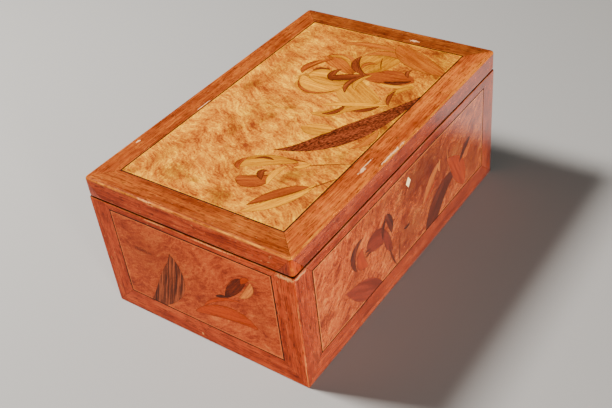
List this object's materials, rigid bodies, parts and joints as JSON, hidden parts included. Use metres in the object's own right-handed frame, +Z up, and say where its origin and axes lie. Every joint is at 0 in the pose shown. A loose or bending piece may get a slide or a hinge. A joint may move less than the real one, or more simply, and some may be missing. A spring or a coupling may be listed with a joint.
{
  "type": "marquetry box",
  "caption": "Rectangular marquetry box with a lift-off lid, mitred mahogany banding, dark stringing and burl panels inlaid with flowers and leaves.",
  "frame": {"origin": "middle of the box's underside, where it rests", "axes": "+X along the long side, to the right as seen from the front, +Y from the front to the back, +Z up through the lid"},
  "size_m": [0.3, 0.192, 0.127],
  "materials": {
    "mahogany": "reddish mahogany banding, French polished",
    "lid_mahogany": "orange-brown mahogany banding, French polished and worn",
    "cedar": "plain unpolished carcass wood",
    "dark_line": "thin dark stringing, polished",
    "lid_burl": "golden burl veneer, French polished",
    "side_burl": "red-brown burl veneer, French polished",
    "bone": "white bone, polished",
    "rosewood": "dark striped rosewood inlay, polished",
    "satinwood": "pale golden satinwood inlay, polished",
    "padauk": "orange-red inlay, polished",
    "walnut": "red-brown inlay, polished"
  },
  "bodies": {
    "root": {"bottom_board": "cedar", "front_wall": "cedar", "right_wall": "cedar", "back_wall": "cedar", "left_wall": "cedar", "front_left_stile": "mahogany", "front_right_stile": "mahogany", "front_bottom_rail": "mahogany", "front_top_rail": "mahogany", "right_left_stile": "mahogany", "right_right_stile": "mahogany", "right_bottom_rail": "mahogany", "right_top_rail": "mahogany", "back_left_stile": "mahogany", "back_right_stile": "mahogany", "back_bottom_rail": "mahogany", "back_top_rail": "mahogany", "left_left_stile": "mahogany", "left_right_stile": "mahogany", "left_bottom_rail": "mahogany", "left_top_rail": "mahogany", "front_dark_line": "dark_line", "right_dark_line": "dark_line", "back_dark_line": "dark_line", "left_dark_line": "dark_line", "front_burl_panel": "side_burl", "right_burl_panel": "side_burl", "back_burl_panel": "side_burl", "left_burl_panel": "side_burl", "bone_lozenge": "bone", "front_orange_blade": "padauk", "front_dark_leaf": "rosewood", "front_red_leaf": "walnut", "left_dark_leaf": "rosewood", "left_flower_bud": "rosewood", "lid_board": "cedar", "lid_front_rail": "cedar", "lid_right_rail": "cedar", "lid_back_rail": "cedar", "lid_left_rail": "cedar", "lid_front_band": "mahogany", "lid_right_band": "mahogany", "lid_back_band": "mahogany", "lid_left_band": "mahogany", "lid_front_right_corner": "mahogany", "lid_right_back_corner": "mahogany", "lid_back_left_corner": "mahogany", "lid_left_front_corner": "mahogany", "lid_front_frame": "lid_mahogany", "lid_right_frame": "lid_mahogany", "lid_back_frame": "lid_mahogany", "lid_left_frame": "lid_mahogany", "lid_dark_line": "dark_line", "lid_burl_panel": "lid_burl", "lid_dark_leaf": "rosewood", "lid_pale_petal": "satinwood", "lid_orange_petal": "padauk", "lid_side_petal": "satinwood", "lid_lower_petal": "satinwood", "lid_rust_petal": "walnut"}
  },
  "joints": []
}
